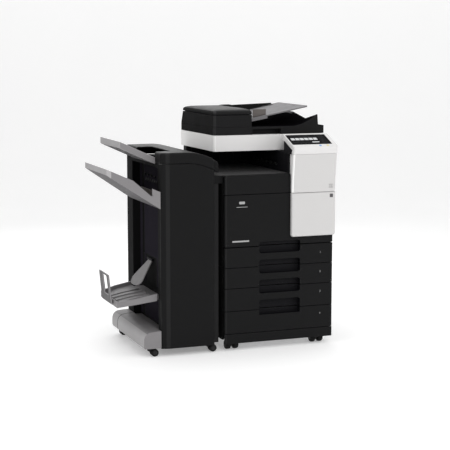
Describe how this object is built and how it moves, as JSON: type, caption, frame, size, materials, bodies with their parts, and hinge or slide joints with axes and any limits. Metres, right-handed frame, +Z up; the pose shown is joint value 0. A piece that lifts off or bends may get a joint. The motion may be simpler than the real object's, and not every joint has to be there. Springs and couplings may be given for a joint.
{
  "type": "photocopier",
  "caption": "Floor-standing copier with document feeder, tilting control panel, paper drawers, folding front door, and a staple and booklet finisher with rising tray.",
  "frame": {"origin": "centre of the bounding box's footprint, on the floor under the casters", "axes": "+Z up, -Y out of the front with its drawers and panel, +X to the operator's right; the finisher is on -X"},
  "size_m": [1.185, 0.7048, 1.2055],
  "materials": {
    "black_plastic": "finely textured moulded plastic, charcoal black",
    "white_plastic": "satin moulded plastic, warm light grey",
    "grey_plastic": "matte moulded plastic, mid grey",
    "screen": "glossy black screen cover",
    "platen": "clear float glass",
    "steel": "plated sheet steel",
    "caster": "black caster tyres",
    "drum": "coated drum",
    "key_blue": "blue key",
    "key_amber": "amber key"
  },
  "bodies": {
    "root": {"base_frame": "steel", "plinth_front": "black_plastic", "left_side_cover": "black_plastic", "right_side_cover": "black_plastic", "rear_cover": "black_plastic", "engine_shelf": "steel", "upper_front_cover": "black_plastic", "column_cover": "white_plastic", "scanner_support": "black_plastic", "relay_unit": "black_plastic", "scanner_housing": "white_plastic", "platen_glass": "platen", "fuser_unit": "steel", "finisher_frame": "black_plastic", "upper_output_tray": "grey_plastic", "booklet_tray": "grey_plastic", "finisher_foot": "grey_plastic"},
    "carriage": {"scan_carriage": "steel"},
    "drum": {"photoconductor_drum": "drum"},
    "toner": {"toner_bottle": "black_plastic"},
    "front_door": {"front_door": "black_plastic", "front_door_panel": "white_plastic"},
    "panel": {"control_panel": "white_plastic", "touch_screen": "screen"},
    "start_key": {"start_key": "key_blue"},
    "stop_key": {"stop_key": "key_amber"},
    "right_door": {"right_door": "black_plastic"},
    "bypass": {"bypass_tray": "black_plastic"},
    "feeder": {"adf_base": "black_plastic", "adf_feed_body": "black_plastic"},
    "feed_cover": {"adf_feed_cover": "black_plastic"},
    "input_tray": {"adf_input_tray": "grey_plastic"},
    "guide_front": {"adf_guide_front": "grey_plastic"},
    "guide_rear": {"adf_guide_rear": "black_plastic"},
    "feed_roller": {"adf_feed_roller": "caster"},
    "fork_left": {"caster_fork_left": "black_plastic"},
    "fork_right": {"caster_fork_right": "black_plastic"},
    "wheel_front_left": {"caster_wheel_front_left": "caster"},
    "wheel_front_right": {"caster_wheel_front_right": "caster"},
    "wheel_rear_left": {"caster_wheel_rear_left": "caster"},
    "wheel_rear_right": {"caster_wheel_rear_right": "caster"},
    "finisher_door": {"finisher_front_door": "black_plastic"},
    "finisher_lid": {"finisher_top_cover": "black_plastic"},
    "elevator_tray": {"main_output_tray": "grey_plastic"},
    "stopper": {"booklet_stopper": "grey_plastic"},
    "flap": {"booklet_flap": "grey_plastic"},
    "finisher_fork_left": {"finisher_caster_fork_left": "black_plastic"},
    "finisher_fork_right": {"finisher_caster_fork_right": "black_plastic"},
    "finisher_wheel_front_left": {"finisher_wheel_front_left": "caster"},
    "finisher_wheel_front_right": {"finisher_wheel_front_right": "caster"},
    "finisher_wheel_rear_left": {"finisher_wheel_rear_left": "caster"},
    "finisher_wheel_rear_right": {"finisher_wheel_rear_right": "caster"},
    "drawer_1": {"drawer_1_front": "black_plastic", "drawer_1_tray": "grey_plastic"},
    "drawer_2": {"drawer_2_front": "black_plastic", "drawer_2_tray": "grey_plastic"},
    "drawer_3": {"drawer_3_front": "black_plastic", "drawer_3_tray": "grey_plastic"},
    "drawer_4": {"drawer_4_front": "black_plastic", "drawer_4_tray": "grey_plastic"}
  },
  "joints": [
    {"name": "scan_carriage_slide", "type": "slide", "parent": "root", "child": "carriage", "axis": [1, 0, 0], "range_m": [0, 0.4]},
    {"name": "drum_spin", "type": "hinge", "parent": "root", "child": "drum", "pos_m": [0.3895, 0.0194, 0.62], "axis": [0, 1, 0], "continuous": true},
    {"name": "toner_spin", "type": "hinge", "parent": "root", "child": "toner", "pos_m": [0.1395, -0.0206, 0.7], "axis": [0, 1, 0], "continuous": true},
    {"name": "front_door_hinge", "type": "hinge", "parent": "root", "child": "front_door", "pos_m": [0.282, -0.2966, 0.535], "axis": [-1, 0, 0], "range_deg": [-90, 0]},
    {"name": "panel_tilt", "type": "hinge", "parent": "root", "child": "panel", "pos_m": [0.451, -0.2206, 1.046], "axis": [-1, 0, 0], "range_deg": [0, 20]},
    {"name": "start_key_press", "type": "slide", "parent": "panel", "child": "start_key", "axis": [0, 0.3754, -0.9269], "range_m": [0, 0.0015], "stiffness_N_per_m": 400},
    {"name": "stop_key_press", "type": "slide", "parent": "panel", "child": "stop_key", "axis": [0, 0.3754, -0.9269], "range_m": [0, 0.0015], "stiffness_N_per_m": 400},
    {"name": "drawer_1_slide", "type": "slide", "parent": "root", "child": "drawer_1", "axis": [0, -1, 0], "range_m": [0, 0.42]},
    {"name": "drawer_2_slide", "type": "slide", "parent": "root", "child": "drawer_2", "axis": [0, -1, 0], "range_m": [0, 0.42]},
    {"name": "drawer_3_slide", "type": "slide", "parent": "root", "child": "drawer_3", "axis": [0, -1, 0], "range_m": [0, 0.42]},
    {"name": "drawer_4_slide", "type": "slide", "parent": "root", "child": "drawer_4", "axis": [0, -1, 0], "range_m": [0, 0.42]},
    {"name": "right_door_hinge", "type": "hinge", "parent": "root", "child": "right_door", "pos_m": [0.5895, 0.3399, 0.686], "axis": [0, 0, 1], "range_deg": [0, 80]},
    {"name": "bypass_hinge", "type": "hinge", "parent": "right_door", "child": "bypass", "pos_m": [0.5835, 0.0094, 0.607], "axis": [0, 1, 0], "range_deg": [0, 75]},
    {"name": "feeder_lift", "type": "hinge", "parent": "root", "child": "feeder", "pos_m": [0.2895, 0.3529, 1.0655], "axis": [-1, 0, 0], "range_deg": [0, 60]},
    {"name": "feed_cover_hinge", "type": "hinge", "parent": "feeder", "child": "feed_cover", "pos_m": [-0.0095, 0.1044, 1.1665], "axis": [0, -1, 0], "range_deg": [0, 70]},
    {"name": "input_tray_hinge", "type": "hinge", "parent": "feeder", "child": "input_tray", "pos_m": [0.1995, 0.0944, 1.146], "axis": [0, -1, 0], "range_deg": [0, 30]},
    {"name": "guide_front_slide", "type": "slide", "parent": "input_tray", "child": "guide_front", "axis": [0, 1, 0], "range_m": [0, 0.12]},
    {"name": "guide_rear_slide", "type": "slide", "parent": "input_tray", "child": "guide_rear", "axis": [0, 1, 0], "range_m": [-0.12, 0]},
    {"name": "feed_roller_spin", "type": "hinge", "parent": "feeder", "child": "feed_roller", "pos_m": [0.1245, 0.1044, 1.15], "axis": [0, 1, 0], "continuous": true},
    {"name": "caster_swivel_left", "type": "hinge", "parent": "root", "child": "fork_left", "pos_m": [0.0425, -0.2356, 0.052], "axis": [0, 0, 1], "continuous": true},
    {"name": "wheel_spin_front_left", "type": "hinge", "parent": "fork_left", "child": "wheel_front_left", "pos_m": [0.0425, -0.2476, 0.0245], "axis": [1, 0, 0], "continuous": true},
    {"name": "wheel_spin_rear_left", "type": "hinge", "parent": "root", "child": "wheel_rear_left", "pos_m": [0.0425, 0.2944, 0.0245], "axis": [1, 0, 0], "continuous": true},
    {"name": "caster_swivel_right", "type": "hinge", "parent": "root", "child": "fork_right", "pos_m": [0.5065, -0.2356, 0.052], "axis": [0, 0, 1], "continuous": true},
    {"name": "wheel_spin_front_right", "type": "hinge", "parent": "fork_right", "child": "wheel_front_right", "pos_m": [0.5065, -0.2476, 0.0245], "axis": [1, 0, 0], "continuous": true},
    {"name": "wheel_spin_rear_right", "type": "hinge", "parent": "root", "child": "wheel_rear_right", "pos_m": [0.5065, 0.2944, 0.0245], "axis": [1, 0, 0], "continuous": true},
    {"name": "finisher_door_hinge", "type": "hinge", "parent": "root", "child": "finisher_door", "pos_m": [-0.3305, -0.2986, 0.49], "axis": [0, 0, -1], "range_deg": [0, 100]},
    {"name": "finisher_lid_hinge", "type": "hinge", "parent": "root", "child": "finisher_lid", "pos_m": [-0.2005, 0.2949, 0.95], "axis": [-1, 0, 0], "range_deg": [0, 60]},
    {"name": "elevator_slide", "type": "slide", "parent": "root", "child": "elevator_tray", "axis": [0, 0, 1], "range_m": [-0.25, 0]},
    {"name": "booklet_stopper_hinge", "type": "hinge", "parent": "root", "child": "stopper", "pos_m": [-0.5367, -0.0276, 0.244], "axis": [0, -1, 0], "range_deg": [0, 75]},
    {"name": "booklet_flap_hinge", "type": "hinge", "parent": "root", "child": "flap", "pos_m": [-0.303, -0.0056, 0.43], "axis": [0, 1, 0], "range_deg": [0, 35]},
    {"name": "finisher_swivel_left", "type": "hinge", "parent": "root", "child": "finisher_fork_left", "pos_m": [-0.3925, -0.2656, 0.04], "axis": [0, 0, 1], "continuous": true},
    {"name": "finisher_wheel_spin_front_left", "type": "hinge", "parent": "finisher_fork_left", "child": "finisher_wheel_front_left", "pos_m": [-0.3675, -0.2656, 0.019], "axis": [0, 1, 0], "continuous": true},
    {"name": "finisher_wheel_spin_rear_left", "type": "hinge", "parent": "root", "child": "finisher_wheel_rear_left", "pos_m": [-0.3805, 0.2444, 0.019], "axis": [0, 1, 0], "continuous": true},
    {"name": "finisher_swivel_right", "type": "hinge", "parent": "root", "child": "finisher_fork_right", "pos_m": [-0.0905, -0.2656, 0.04], "axis": [0, 0, 1], "continuous": true},
    {"name": "finisher_wheel_spin_front_right", "type": "hinge", "parent": "finisher_fork_right", "child": "finisher_wheel_front_right", "pos_m": [-0.0655, -0.2656, 0.019], "axis": [0, 1, 0], "continuous": true},
    {"name": "finisher_wheel_spin_rear_right", "type": "hinge", "parent": "root", "child": "finisher_wheel_rear_right", "pos_m": [-0.0955, 0.2444, 0.019], "axis": [0, 1, 0], "continuous": true}
  ],
  "couplings": [
    {"joint": "guide_rear_slide", "follows": "guide_front_slide", "ratio": -1}
  ]
}
